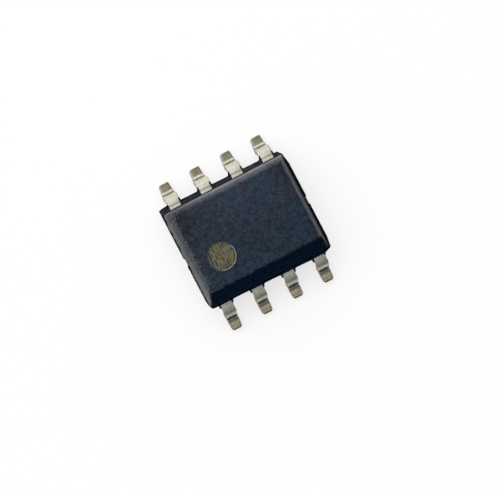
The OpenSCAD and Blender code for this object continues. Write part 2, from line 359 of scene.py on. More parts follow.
class Finish(Tree):
    """A material with the fields that its looks come from, with places in millimetres."""

    def __init__(self, name):
        self.material = bpy.data.materials.new(name)
        super().__init__(self.material, "Principled BSDF")
        metres = self.add("TexCoord", {}, "Object")
        self.place = self.scaled(metres, 1.0 / MM)

    def scaled(self, tone, factor):
        """A colour or a place times a number."""
        return self.add("VectorMath", {0: tone, "Scale": factor}, "Vector", operation="SCALE")

    def grain(self, size, detail, roughness, stretch=None):
        """Noise whose spots are about size millimetres across."""
        place = self.place
        if stretch:
            place = self.add("Mapping", {"Vector": place, "Scale": stretch}, "Vector")
        inputs = {"Vector": place, "Scale": 1.0 / size, "Detail": detail, "Roughness": roughness}
        return self.field("TexNoise", inputs, "Fac")

    def cells(self, size):
        """Distance to the nearest of a scatter of points about size millimetres apart."""
        return self.field("TexVoronoi", {"Vector": self.place, "Scale": 1.0 / size}, "Distance")

    def along(self, axis):
        return self.field("SeparateXYZ", {"Vector": self.place}, axis)

    def away(self, middle):
        """The distance from an upright line."""
        flat = self.add("VectorMath", {0: self.place, 1: (1.0, 1.0, 0.0)}, "Vector", operation="MULTIPLY")
        return self.field("VectorMath", {0: flat, 1: (*middle, 0.0)}, "Value", operation="DISTANCE")

    def facing(self, *way):
        """How far the surface faces one way, from -1 to 1."""
        return self.towards(self.add("NewGeometry", {}, "Normal"), way)

    def attribute(self, name):
        return self.field("Attribute", {}, "Fac", attribute_name=name)

    def mix(self, factor, first, second):
        """The first colour where the factor is 0, and the second where it is 1."""
        return self.add("Mix", {"Factor": factor, 6: first, 7: second}, 2, data_type="RGBA")

    def bump(self, *layers):
        """Stacks bumps, each given as a height and its depth in millimetres."""
        stack = {}
        for height, depth in layers:
            inputs = {"Height": height, "Distance": depth * MM, "Strength": 1.0, **stack}
            stack = {"Normal": self.add("Bump", inputs, "Normal")}
        self.set("Normal", stack["Normal"])


def mark_rim(finish, mark):
    """How far a place lies outside the pin 1 mark, and whether that side of its rim is lit, from 0 to 1."""
    x, y, radius = mark
    lit = (finish.along("X") - finish.along("Y")).rise(x - y + 0.1, x - y + 0.4)
    return finish.away((x, y)) - radius, lit


def moulding_finish(finishes, name, gloss, crest, mark):
    """Dark filled epoxy: cloudy and grained, smooth on the bevel, with painted reflection on all walls but
    the front and painted shade on the bevel, the front wall and the right end.
    """
    finish = Finish(name)
    along, across, height = (finish.along(axis) for axis in "XYZ")
    backward, forward = finish.facing(0.0, 1.0, 0.0), finish.facing(0.0, -1.0, 0.0)
    cloud = finish.grain(0.7, 2.0, 0.5)
    patch = finish.grain(0.15, 4.0, 0.65)
    fine = finish.grain(0.05, 3.0, 0.65)
    ragged = patch.swing(-0.42, 0.42) + fine.swing(-0.58, 0.58)
    # Cloudy, grained compound, lighter at the back and darker at two corners
    violet = across.spread(-1.1, 0.8, -0.1, 0.5) + cloud.spread(0.35, 0.65, -0.3, 0.4)
    violet += along.fall(-2.0, -1.4, 0.5)
    tone = finish.mix(violet, finishes.moulding, finishes.moulding_tint)
    lighter = across.rise(-0.3, 1.5, 0.32) * along.rise(-1.8, 0.0)
    lighter *= along.spread(1.3, 2.1, 1.0, -0.4)
    darker = across.fall(-1.2, -0.2, -0.28) * along.rise(1.6, 2.1)
    corner = across.rise(0.4, 1.4, -0.3) * along.fall(-2.1, -1.5)
    tone = finish.scaled(tone, ragged.spread(-1.0, 1.0, 0.25, 1.8) + corner + lighter + darker)
    # Painted reflection: grey on the left, right and back walls and the rounded edges above them, where they
    # mirror the lit floor, and specks of that grey along the top's left edge
    above_bevel = height - across - (BODY_HIGH.z - crest)
    left = across.spread(-1.1, -0.3, 1.3, 1.0) * across.spread(-1.88, -1.68, 0.05, 1.0)
    left *= above_bevel.spread(-0.2, -0.08, 1.0, 0.12)
    left *= along.fall(-2.25, -2.15, 0.28) + along.fall(-2.46, -2.25, 0.57)
    right = along.rise(2.17, 2.31, 0.6) * along.fall(2.31, 2.46)
    back = across.rise(1.58, 1.74, 0.26) * along.spread(-2.2, 0.0, 0.3, 1.0)
    back += across.rise(1.74, 1.87, 0.84) * along.spread(-2.2, -0.6, 0.7, 1.0)
    painted_reflection_mask = (left | right | back) * ragged.spread(-1.0, 1.0, 0.56, 1.04) * cloud.swing(0.84, 1.16)
    painted_reflection_mask *= height.spread(0.75, 0.9, 0.45, 1.0) * backward.rise(-0.5, -0.1)
    specks = finish.cells(0.085).fall(0.16, 0.34, 0.6) * height.rise(1.3, 1.4)
    specks *= along.rise(-2.26, -2.18) * along.fall(-2.16, -2.04)
    tone = finish.mix(painted_reflection_mask | specks, tone, finishes.haze)
    # Painted shade: black on the right end's wall, which faces away from the light, in a band at the back
    # wall's foot around the flash, and in a ring just outside the lit side of the mark
    bare = along.rise(2.34, 2.44) * finish.facing(1.0, 0.0, 0.0).rise(0.4, 0.8)
    foot = height.fall(0.97, 1.09, 0.95) * height.rise(0.7, 0.78) * backward.rise(0.4, 0.8)
    off, lit = mark_rim(finish, mark)
    painted_outer_rim_shade = off.fall(0.02, 0.055, 0.8) * lit * height.rise(1.3, 1.4)
    tone = finish.mix(bare | foot | painted_outer_rim_shade, tone, finishes.flash_black)
    # Smoother bevel with a ragged edge; painted shade: the bevel, the front wall and the front left corner
    # take a darker copy of the compound, as they face the dim front
    border = across + ragged * 0.035
    smooth = above_bevel.rise(-0.03, -0.008) * border.fall(crest - 0.05, crest + 0.02)
    smooth *= along.fall(2.27, 2.31)
    front = forward.rise(0.8, 0.9) | forward.rise(0.1, 0.4) * along.fall(-2.28, -2.2)
    front_shade_tone = finish.scaled(finishes.bevel, ragged.spread(-1.0, 1.0, 0.4, 1.6))
    finish.set("Base Color", finish.mix(smooth | front, tone, front_shade_tone))
    finish.set("Roughness", smooth.spread(0.0, 1.0, 0.45, 0.12) + fine.swing(-0.04, 0.04))
    finish.set("Specular IOR Level", gloss)
    relief = smooth.spread(0.0, 1.0, 1.0, 0.1)
    finish.bump((patch * relief, 0.003), (fine * relief, 0.002))
    return finish.material


def flash_finish(finishes):
    """Thin resin that was squeezed out between the mould halves: dry and uneven, with painted light at the
    left end and painted shade on the front and end flash.
    """
    finish = Finish("flash_resin")
    along, across = finish.along("X"), finish.along("Y")
    crumb = finish.grain(0.05, 3.0, 0.7)
    wave = finish.grain(0.22, 2.0, 0.6)
    streak = finish.grain(0.09, 2.0, 0.6, (0.3, 1.0, 1.0))
    tone = finish.mix(crumb.rise(0.45, 0.75, 0.6), finishes.flash, finishes.flash_black)
    tone = finish.mix(streak.rise(0.5, 0.66, 0.75), tone, tinted(finishes.flash, 2.6))
    # Black along the back flash's outer edge; painted shade: black where the flash meets the back wall and on
    # the end flash, and the bevel's dark tone on the front flash
    tone = finish.mix(across.rise(2.03, 2.09, 0.7), tone, finishes.flash_black)
    tone = finish.mix(across.rise(1.9, 1.97), finishes.flash_black, tone)
    tone = finish.mix(across.rise(-1.86, -1.8), finishes.bevel, tone)
    # Painted light: the left end's flash is lit in the grey of the wall beside it
    border = along + crumb.swing(-0.02, 0.02) + wave.spread(0.35, 0.65, -0.025, 0.025)
    painted_left_end_light = border.rise(-2.5, -2.48) * along.fall(-2.4, -2.3, 0.8)
    painted_left_end_light *= across.fall(1.7, 1.82) * across.spread(-0.3, 0.3, 0.45, 0.8)
    finish.set("Base Color", finish.mix(painted_left_end_light, tone, finishes.haze))
    finish.set("Roughness", crumb.swing(0.6, 0.8))
    finish.set("Specular IOR Level", 0.08)
    finish.bump((wave, 0.012), (crumb, 0.005))
    return finish.material


def etched_finish(finishes, mark):
    """Moulding that a laser has scanned: matte olive with burnt lines, and on the rim's lit side a painted
    highlight with painted shade just inside it.
    """
    finish = Finish("etched_moulding")
    fine = finish.grain(0.03, 3.0, 0.7)
    blotch = finish.grain(0.16, 3.0, 0.6)
    streak = finish.grain(0.06, 2.0, 0.6, (1.0, 0.45, 1.0))
    line = finish.attribute("line")
    off, lit = mark_rim(finish, mark)
    tone = finish.mix(line, finishes.etched_dark, finishes.etched)
    tone = finish.mix(blotch.rise(0.4, 0.7, 0.45), tone, tinted(finishes.etched, 0.4))
    tone = finish.mix(line * streak.rise(0.5, 0.66, 0.8), tone, tinted(finishes.etched, 1.5))
    # Painted shade just inside the rim on its lit side
    burnt = off.rise(-0.105, -0.08) * blotch.spread(0.38, 0.56, 0.15, 0.9) * lit
    tone = finish.mix(burnt, tone, finishes.etched_dark)
    faint = off.rise(-0.14, -0.03) * lit.fall(0.0, 1.0, 0.8) * blotch.spread(0.35, 0.6, 0.35, 1.0)
    tone = finish.mix(faint, tone, tinted(finishes.moulding_tint, 1.6))
    # Painted highlight on the rim's lit side, whose slope faces the light
    finish.set("Base Color", finish.mix(off.rise(-0.055, -0.04) * lit, tone, finishes.etched_rim))
    finish.set("Roughness", fine.swing(0.62, 0.85))
    finish.set("Specular IOR Level", 0.3)
    finish.bump((fine, 0.006))
    return finish.material


def tin_finish(finishes):
    """Matte tin over the formed strip: rolled grain, flecks, darker feet, brown residue, and painted shade
    and highlights on the bends, legs, heels and sides.
    """
    finish = Finish("tin_plating")
    height, across = finish.along("Z"), finish.along("Y")
    fine = finish.grain(0.014, 2.0, 0.6)
    fleck = finish.grain(0.045, 3.0, 0.7)
    rolled = finish.grain(0.05, 3.0, 0.6, (1.0, 0.22, 0.22))
    cloud = finish.grain(0.18, 3.0, 0.6)
    blotch = finish.grain(0.085, 3.0, 0.65)
    plain = abs(across)
    out = plain + cloud.swing(-0.012, 0.012)
    front, back = across.fall(-0.5, 0.5), across.rise(-0.5, 0.5)
    below = height.fall(0.4, 0.5)
    low = below * out.rise(2.68, 2.72)
    # Rolled strip, with painted shade on the front row and painted highlights on the back row
    bright, grey = tinted(finishes.tin, 1.1), tinted(finishes.tin, 0.78)
    tone = finish.mix(rolled.swing(0.2, 1.0), grey, bright)
    tone = finish.mix(fleck.rise(0.5, 0.75, 0.6), tone, grey)
    # Painted shade on the front row near the body, which shades it, and on the bend
    painted_front_lead_shade = front * (out.fall(2.12, 2.26, 0.5) | out.band(2.39, 2.47, 0.02, 0.3))
    tone = finish.mix(painted_front_lead_shade, tone, tinted(finishes.tin, 0.4))
    # Painted highlights on the back row near the root and on the bend
    rubbed = back * (plain.band(2.125, 2.22, 0.015, 0.7) | plain.band(2.42, 2.52, 0.02, 0.6))
    tone = finish.mix(rubbed, tone, tinted(finishes.tin, 1.25))
    # Darker, browner feet, with painted shade that darkens the back feet and lightens the front feet by the
    # heel, and a painted highlight on one side of the back feet
    darker, lighter = (tinted(finishes.tin_dull, factor) for factor in (0.8, 1.08))
    dull = finish.mix(cloud.rise(0.35, 0.68), darker, lighter)
    dull = finish.mix(rolled.rise(0.5, 0.75, 0.35), dull, finishes.stain)
    shade = front * out.spread(2.76, 2.86, 1.25, 0.95) + back * 0.8
    tone = finish.mix(low, tone, finish.scaled(dull, shade))
    # Painted highlight on the back feet's rounded side edge that faces the light
    rim = low * back * finish.attribute("side").fall(-1.0, -0.7, 0.8)
    tone = finish.mix(rim, tone, bright)
    # Pale blotches on the front row
    pale = blotch.fall(0.3, 0.42, 0.5) * out.fall(2.2, 2.4)
    pale |= plain.band(2.9, 2.928, 0.012, 0.5)
    tone = finish.mix(front * pale, tone, bright)
    # Brown residue in spots and at cut toes, brown painted shade on the back legs, in the front heels and on
    # the lead sides, and black painted shade across the front legs
    spots = front * blotch.rise(0.56, 0.7, 0.5)
    # Painted shade on the back legs and in the front heels' bend
    legs = back * plain.band(2.55, 2.6, 0.014, 0.95)
    heels = front * below * plain.band(2.62, 2.708, 0.014, 0.68)
    toes = front * plain.rise(2.938, 2.955, 0.85) + back * out.rise(2.85, 2.93, 0.3)
    # Painted shade on the leads' sides
    sides = abs(finish.facing(1.0, 0.0, 0.0)).rise(0.3, 0.75, 0.75)
    tone = finish.mix(spots | legs | heels | toes | sides, tone, finishes.stain)
    painted_front_leg_shade = front * plain.band(2.502, 2.556, 0.01, 0.96)
    finish.set("Base Color", finish.mix(painted_front_leg_shade, tone, tinted(finishes.stain, 0.15)))
    finish.set("Metallic", low.spread(0.0, 1.0, 1.0, 0.85))
    finish.set("Roughness", (low + rolled).spread(0.3, 1.5, 0.38, 0.46))
    finish.bump((rolled, 0.003), (fleck, 0.003), (fine, 0.0015))
    return finish.material


def copper_finish(finishes, name):
    """Sheared or rolled copper alloy, streaked and partly gone brown."""
    finish = Finish(name)
    streak = finish.grain(0.03, 3.0, 0.6, (1.0, 1.0, 0.25))
    cloud = finish.grain(0.2, 3.0, 0.6)
    tone = finish.mix(cloud.rise(0.35, 0.7), finishes.copper, finishes.copper_dull)
    tone = finish.mix(streak.rise(0.5, 0.8, 0.6), tone, finishes.copper_dull)
    cut_end = abs(finish.along("X")).rise(2.4, 2.44)
    finish.set("Base Color", finish.mix(cut_end, tone, finishes.tie_end))
    finish.set("Metallic", 1.0)
    finish.set("Roughness", streak.swing(0.3, 0.48))
    finish.bump((streak, 0.003))
    return finish.material


def attach_finish(finishes):
    """Cured die attach paste with silver flakes."""
    finish = Finish("die_attach_paste")
    flake = finish.cells(0.012)
    cloud = finish.grain(0.1, 3.0, 0.6)
    tone = finish.mix(flake.rise(0.2, 0.6), finishes.attach, tinted(finishes.attach, 0.6))
    finish.set("Base Color", finish.mix(cloud.rise(0.4, 0.7, 0.4), tone, finishes.copper_dull))
    finish.set("Metallic", flake.spread(0.2, 0.6, 0.9, 0.3))
    finish.set("Roughness", cloud.swing(0.4, 0.65))
    finish.bump((cloud, 0.004))
    return finish.material


def silicon_finish(finishes):
    """Die face: polished silicon under fine rows of circuit."""
    finish = Finish("silicon_die_face")
    rows = finish.grain(0.02, 1.0, 0.4, (0.12, 1.0, 1.0))
    tint = finish.mix(finish.cells(0.16).rise(0.2, 0.8), finishes.silicon, tinted(finishes.silicon, 1.9))
    finish.set("Base Color", finish.mix(rows.rise(0.45, 0.6, 0.7), tint, finishes.attach))
    finish.set("Metallic", 0.6)
    finish.set("Roughness", rows.swing(0.18, 0.34))
    finish.bump((rows, 0.001))
    return finish.material


def gold_finish(finishes):
    """Drawn gold wire with faint marks."""
    finish = Finish("bond_wire_gold")
    drawn = finish.grain(0.006, 2.0, 0.5)
    finish.set("Base Color", finish.mix(drawn.rise(0.35, 0.7), finishes.gold, tinted(finishes.gold, 0.8)))
    finish.set("Metallic", 1.0)
    finish.set("Roughness", drawn.swing(0.2, 0.34))
    finish.bump((drawn, 0.0004))
    return finish.material


# Meshes


def loft(loops, cap_slot=0):
    """A closed skin over loops of equal count, with a material slot for its two caps."""
    mesh = bmesh.new()
    rings = [[mesh.verts.new(point) for point in loop] for loop in loops]
    count = len(rings[0])
    for low, high in zip(rings, rings[1:]):
        for k in range(count):
            mesh.faces.new((low[k], low[(k + 1) % count], high[(k + 1) % count], high[k]))
    for cap in (list(reversed(rings[0])), rings[-1]):
        mesh.faces.new(cap).material_index = cap_slot
    bmesh.ops.recalc_face_normals(mesh, faces=mesh.faces[:])
    return mesh


def scratch(mesh, materials=()):
    """A working object from a mesh that is used up."""
    data = bpy.data.meshes.new("working")
    mesh.to_mesh(data)
    mesh.free()
    for material in materials:
        data.materials.append(material)
    piece = bpy.data.objects.new("working", data)
    bpy.context.scene.collection.objects.link(piece)
    return piece


def combine(piece, tool, operation):
    """Joins, cuts or intersects a working object with another, and uses the other up."""
    cut = piece.modifiers.new("cut", "BOOLEAN")
    cut.operation = operation
    cut.solver = "EXACT"
    cut.material_mode = "TRANSFER"
    cut.object = tool
    bpy.context.view_layer.update()
    shown = piece.evaluated_get(bpy.context.evaluated_depsgraph_get())
    data = bpy.data.meshes.new_from_object(shown)
    if not data.polygons:
        raise RuntimeError(f"{operation.lower()} left nothing of the working mesh")
    spent = (piece.data, tool.data)
    piece.modifiers.clear()
    piece.data = data
    bpy.data.objects.remove(tool)
    for mesh in spent:
        bpy.data.meshes.remove(mesh)
    return piece


# Edges that turn more than this in degrees stay sharp, on the body and on the leads
BODY_CREASE = 30.0
LEAD_CREASE = 40.0


def finish_piece(piece, name, nodes, crease):
    """Puts a working object into the scene in metres, smooth but for its creases."""
    piece.name = name
    piece.data.name = name
    piece.data.transform(Matrix.Scale(MM, 4))
    piece.data.shade_smooth()
    piece.data.set_sharp_from_angle(angle=math.radians(crease))
    weighted = piece.modifiers.new("flat faces stay flat", "WEIGHTED_NORMAL")
    weighted.keep_sharp = True
    weighted.weight = 100
    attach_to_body(piece, "root")
    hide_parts(*nodes)


def polar(middle, radius, turn):
    return middle[0] + radius * math.cos(turn), middle[1] + radius * math.sin(turn)


def arc(middle, radius, start, end, steps):
    """Points of a flat arc, with the angles in radians."""
    return [polar(middle, radius, start + (end - start) * k / steps) for k in range(steps + 1)]


def circle(middle, radius, sides):
    return arc(middle, radius, 0.0, 2.0 * math.pi, sides)[:-1]


def eased(part):
    """A share of the way, held between 0 and 1 and eased at both ends."""
    held = max(0.0, min(1.0, part))
    return held * held * (3.0 - 2.0 * held)


def lead_place(node):
    """Where the middle of a lead lies along X, and its row: 1 at the back, -1 at the front."""
    low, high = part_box(node)
    return (low.x + high.x) / 2.0 / MM, 1.0 if low.y + high.y > 0.0 else -1.0


QUARTER = math.pi / 2.0


def rounded_rectangle(half_x, half_y, radius, steps):
    points = []
    for quarter, (sx, sy) in enumerate(((1, 1), (-1, 1), (-1, -1), (1, -1))):
        middle = (sx * (half_x - radius), sy * (half_y - radius))
        points += arc(middle, radius, quarter * QUARTER, (quarter + 1) * QUARTER, steps)
    return points


# Keeps the inset of a sharp corner from running away
SHARPEST = 0.5


def inset_outline(points, distance):
    """Moves a counterclockwise outline inwards."""
    moved = []
    for k, here in enumerate(points):
        before, after = Vector(points[k - 1]), Vector(points[(k + 1) % len(points)])
        one, two = (Vector(here) - before).normalized(), (after - Vector(here)).normalized()
        inwards = Vector((-one.y - two.y, one.x + two.x)) / max(1.0 + one.dot(two), SHARPEST)
        moved.append(tuple(Vector(here) + inwards * distance))
    return moved


# Moulded body

# Roundings of the body's edges: points around one, its rings in degrees, and points at an upright corner
BALL_SIDES = 24
BALL_RINGS = (28.0, 36.0, 45.0, 55.0, 66.0, 78.0)
CORNER_STEPS = 8
# Faces of the hull that differ by less than this become one
FLAT_ANGLE = math.radians(0.4)
# A face that looks up or down by less than this is a wall
WALL_NORMAL = 0.45
ROOT_TWO = math.sqrt(2.0)


def ball(middle, radius, lean, up):
    """The half of an edge's rounding that shows, with a ring where the wall leaves it."""
    points = [(middle[0], middle[1], middle[2] + up * radius)]
    for ring in [lean] + [math.radians(r) for r in BALL_RINGS]:
        for x, y in circle(middle, radius * math.cos(ring), BALL_SIDES):
            points.append((x, y, middle[2] + up * radius * math.sin(ring)))
    return points


def parting_land(body, leads):
    """Heights of the lower and upper edge of the straight band at the parting plane."""
    middle = FRAME_TOP - leads.thickness / 2.0
    return middle - body.land / 2.0, middle + body.land / 2.0


def bevel_crest(body, leads):
    """Where along Y the bevel's plane meets the top."""
    land_high = parting_land(body, leads)[1]
    return body.bevel - body.width / 2.0 + (BODY_HIGH.z - land_high) * math.tan(body.lean)


def body_core(body, leads):
    """The body without its flash, as the hull of its rounded edges."""
    half_x, half_y = body.length / 2.0, body.width / 2.0
    top, bottom = BODY_HIGH.z, BODY_LOW.z
    land_low, land_high = parting_land(body, leads)
    tilt, level = math.tan(body.lean), math.cos(body.lean)
    round_edge, round_bevel = body.edge_radius, body.bevel_radius
    bevel_top = bevel_crest(body, leads)

    def inset(z, land, radius):
        return abs(z - land) * tilt + radius / level

    points = [(x, y, z) for z in (land_low, land_high)
              for x, y in rounded_rectangle(half_x, half_y, body.corner_radius, CORNER_STEPS)]
    low_z, high_z = bottom + round_edge, top - round_edge
    crest_z = top - round_bevel
    crest_y = bevel_top + (ROOT_TWO - 1.0) * round_bevel
    foot_rise = top - bevel_top - half_y - land_high * tilt + round_bevel * (1.0 / level - ROOT_TWO)
    foot_z = foot_rise / (1.0 - tilt)
    foot_y = bevel_top + foot_z - top + ROOT_TWO * round_bevel
    for side in (-1, 1):
        low = inset(low_z, land_low, round_edge)
        high = inset(high_z, land_high, round_edge)
        for row in (-1, 1):
            points += ball((side * (half_x - low), row * (half_y - low), low_z), round_edge, body.lean, -1)
        points += ball((side * (half_x - high), half_y - high, high_z), round_edge, body.lean, 1)
        for y, z in ((crest_y, crest_z), (foot_y, foot_z)):
            end = half_x - inset(z, land_high, round_bevel)
            points += ball((side * end, y, z), round_bevel, body.lean, 1)
    mesh = bmesh.new()
    for point in points:
        mesh.verts.new(point)
    made = bmesh.ops.convex_hull(mesh, input=mesh.verts[:])
    spare = {v for v in made["geom_interior"] + made["geom_unused"] if isinstance(v, bmesh.types.BMVert)}
    bmesh.ops.delete(mesh, geom=list(spare), context="VERTS")
    bmesh.ops.dissolve_limit(mesh, angle_limit=FLAT_ANGLE, verts=mesh.verts[:], edges=mesh.edges[:])
    bmesh.ops.recalc_face_normals(mesh, faces=mesh.faces[:])
    for face in mesh.faces:
        face.material_index = int(abs(face.normal.z) < WALL_NORMAL)
    return mesh


# Distance between the points of a broken edge, and points of a fillet
TEAR_STEP = 0.06
FILLET_STEPS = 6
# How far flash and crept resin reach into the body, so that they join it
ROOTED = 0.1
# Least flash along a row, and how much shorter the last lead's skin is at its outer corner
LEAST_FLASH = 0.012
SKIN_FALL = 0.008


def torn_edge(start, end, depth, chance):
    """Points along a broken edge, each set back a little, without its last point."""
    start, end = Vector(start), Vector(end)
    steps = max(1, int((end - start).length / TEAR_STEP))
    way = (end - start).normalized()
    back = Vector((-way.y, way.x))
    points = []
    for k in range(steps):
        point = start.lerp(end, k / steps)
        if k:
            point += back * depth * chance.random()
        points.append(tuple(point))
    return points


def row_outline(body, leads, reach, skew, first, last, chance):
    """One long edge of the flash, from the left end to the right, with outwards as -Y.

    The first pair holds X and the reach at the left corner. The last holds the reach beside the last lead,
    how far the skin climbs there, and X and the reach at the right corner.
    """
    half_y = body.width / 2.0
    inside = -(half_y - ROOTED)
    lead_half, skin = leads.root_width / 2.0, body.flash_skin
    near, far = body.near_fillet, body.far_fillet
    places = sorted({round(lead_place(node)[0], 4) for node in LEAD_NODES})

    def edge(x):
        return -(half_y + max(LEAST_FLASH, reach + skew * x))

    points, start = [], (first[0], -half_y - first[1])
    for x in places:
        wall = x - lead_half - skin
        end, tip = edge(wall), edge(wall) - body.skin_climb
        points += torn_edge(start, (wall - near, end), body.flash_tear, chance)
        points += arc((wall - near, end - near), near, QUARTER, 0.0, FILLET_STEPS)
        points += [(wall, tip + skin / 2.0), (wall + skin / 3.0, tip), (x - lead_half, tip)]
        points += [(x - lead_half, inside), (x + lead_half, inside)]
        wall = x + lead_half + skin
        if x < places[-1]:
            end, tip = edge(wall), edge(wall) - body.skin_climb
            points += [(x + lead_half, tip), (wall - skin / 3.0, tip), (wall, tip + skin / 2.0)]
            points += arc((wall + far, end - far), far, math.pi, QUARTER, FILLET_STEPS)[:-1]
            start = (wall + far, end)
    beside, climb, corner = last
    tip = -half_y - beside - climb
    points += [(wall - skin, tip), (wall - skin / 3.0, tip + SKIN_FALL)]
    points += torn_edge((wall, -half_y - beside), (corner[0], -half_y - corner[1]), body.flash_tear, chance)
    return points


# Corners of the notch at a cut tie bar: how far in from the flash's edge, and along Y from the notch's side
NOTCH_FRONT = ((0.0, -0.05), (0.008, 0.0))
NOTCH_BACK = ((0.012, -0.02), (0.0, 0.03))
# How far in from its sides the notch's floor begins and ends, and the flash that is left there
NOTCH_SLANTS = (0.05, 0.06)
NOTCH_FLASH = 0.015


def end_outline(body, x, low, high, tapers, chance):
    """One short edge of the flash, from front to back at the right end, with the notch for the tie bar.

    Each taper holds the Y where the edge starts to draw in, the Y where it has, and how far.
    """
    notch, floor = body.notch_width / 2.0, x - body.end_flash + NOTCH_FLASH
    corners = [(x - inwards, past - notch) for inwards, past in NOTCH_FRONT]
    corners += [(floor, NOTCH_SLANTS[0] - notch), (floor, notch - NOTCH_SLANTS[1])]
    corners += [(x - inwards, past + notch) for inwards, past in NOTCH_BACK]
    points = torn_edge((x, low), corners[0], body.flash_tear, chance) + corners
    points += torn_edge(corners[-1], (x, high), body.flash_tear, chance)[1:]
    shaped = []
    for px, py in points:
        drawn = sum(depth * eased((py - begin) / (full - begin)) for begin, full, depth in tapers)
        shaped.append((px - drawn, py))
    return shaped


# Where the end flash draws in, as end_outline takes it, but how far it does at the right back is a setting
RIGHT_BACK_TAPER = (1.45, 1.9)
RIGHT_DENT = (0.2, -0.2, 0.012)
RIGHT_FRONT_TAPER = (-1.45, -1.95, 0.05)
LEFT_TAPER = (1.5, 2.0, 0.05)
# How much the flash's reach differs at its corners, and how far the skin climbs beside the last lead of a row
CORNER_SHIFT = 0.03
FRONT_CLIMB = 0.08
BACK_CLIMB = 0.02
# How far the front right corner lies inside the tapered end, and inside the body
FRONT_RIGHT_CUT = (0.01, 0.02)
# How many times the front cut the front left corner loses along X and along Y
FRONT_LEFT_CUTS = (3.0, 1.5)
# Starts of the random draws for the flash, the crept resin and the laser lines
FLASH_SEED = 7
BLEED_SEED = 11
MARK_SEED = 3


def body_flash(body, leads):
    """The thin moulding that was squeezed out between the mould halves."""
    chance = random.Random(FLASH_SEED)
    half_x, half_y = body.length / 2.0 + body.end_flash, body.width / 2.0
    front, back, cut = body.front_flash, body.back_flash, body.front_cut
    front_left = (FRONT_LEFT_CUTS[0] * cut - half_x, LEAST_FLASH)
    front_right = (half_x - body.right_taper - FRONT_RIGHT_CUT[0], -FRONT_RIGHT_CUT[1])
    back_right = (body.right_taper + body.corner_cut - half_x, back - CORNER_SHIFT)
    back_left = (half_x - CORNER_SHIFT, back + CORNER_SHIFT)
    right_tapers = ((*RIGHT_BACK_TAPER, body.right_taper), RIGHT_DENT, RIGHT_FRONT_TAPER)
    last = (front + CORNER_SHIFT, FRONT_CLIMB, front_right)
    outline = row_outline(body, leads, front, body.front_skew, front_left, last, chance)
    outline += end_outline(body, half_x, cut - half_y, half_y + back - body.corner_cut, right_tapers, chance)
    last = (back + body.left_corner + BACK_CLIMB, BACK_CLIMB, back_left)
    turned = row_outline(body, leads, back, body.back_skew, back_right, last, chance)
    left_front = half_y - FRONT_LEFT_CUTS[1] * cut
    turned += end_outline(body, half_x, -half_y - back, left_front, (LEFT_TAPER,), chance)
    outline += [(-x, -y) for x, y in turned]
    narrow = inset_outline(outline, body.flash_edge)
    low, high = FRAME_TOP - leads.thickness + body.flash_sink, FRAME_TOP - body.flash_sink
    edge = body.flash_edge
    levels = ((narrow, low), (outline, low + edge), (outline, high - edge), (narrow, high))
    return loft([[(x, y, z) for x, y in shape] for shape, z in levels])


BLEED_STEPS = 8
# Least reach of the resin, and how its reach grows along X on the front row and on the back row
LEAST_BLEED = 0.002
FRONT_GAIN = 0.27
BACK_GAIN = -0.5
# How unevenly the resin reaches out and climbs
BLEED_REACH = (0.7, 1.0)
BLEED_CLIMB = (0.85, 1.0)
# How proud of the wall it stands, and the share of its climb that it has inside the body
BLEED_PROUD = 0.004
INNER_CLIMB = 0.6


def root_resin_and_shade(body, leads, x, row, chance):
    """Resin that crept out over the top of one lead's root and up the wall above it, a dark strip that also
    stands as painted shade where the lead leaves the body.
    """
    half, half_y, tilt = leads.root_width / 2.0, body.width / 2.0, math.tan(body.lean)
    land_high = parting_land(body, leads)[1]
    reach = body.front_bleed * (1.0 + FRONT_GAIN * x)
    if row > 0.0:
        reach = max(LEAST_BLEED, BACK_GAIN * body.back_bleed * x)
    low, high = [], []
    for k in range(BLEED_STEPS + 1):
        across = half * (1.0 - 2.0 * k / BLEED_STEPS)
        low.append((across, half_y + reach * chance.uniform(*BLEED_REACH), 0.0))
        up = body.bleed_height * chance.uniform(*BLEED_CLIMB)
        high.append((across, half_y - (FRAME_TOP + up - land_high) * tilt + BLEED_PROUD, up))
    inside = half_y - ROOTED
    loops = [edge + [(-half, inside, up), (half, inside, up)]
             for edge, up in ((low, 0.0), (high, INNER_CLIMB * body.bleed_height))]
    return loft([[(x + row * px, row * py, FRAME_TOP + up) for px, py, up in loop] for loop in loops])


# Section of a laser line, as shares of the way across it and of its depth
GROOVE = ((0.0, 0.0), (0.2, 0.0), (0.32, 1.0), (0.68, 1.0), (0.8, 0.0))
# How deep the laser burnt at the knots along a line, the knots' spacing, and how closely a line is drawn
BURNS = (0.0, 0.0, 0.4, 1.0, 1.0)
BURN_SPACING = 0.08
LINE_SAMPLE = 0.025
# Keeps the end of a line just short of its last knot
SHORT_OF_END = 1.001
# How the lines vary in pitch and depth
PITCH_SHARES = (0.8, 1.2)
DEPTH_SHARES = (0.6, 1.0)
# Points around the mark's rim, how uneven it is, and how far cutters stand past what they cut
RIM_SIDES = 96
RIM_UNEVEN = (-0.014, 0.008)
OVERCUT = 0.1


def broken_line(reach, chance):
    """How deep one laser line is along its length, as a function of the share of the way along it."""
    knots = [chance.choice(BURNS) for _ in range(int(2.0 * reach / BURN_SPACING) + 2)]
    span = len(knots) - SHORT_OF_END

    def strength(along):
        place = along * span
        low = int(place)
        return knots[low] + (knots[low + 1] - knots[low]) * eased(place % 1.0)

    return strength


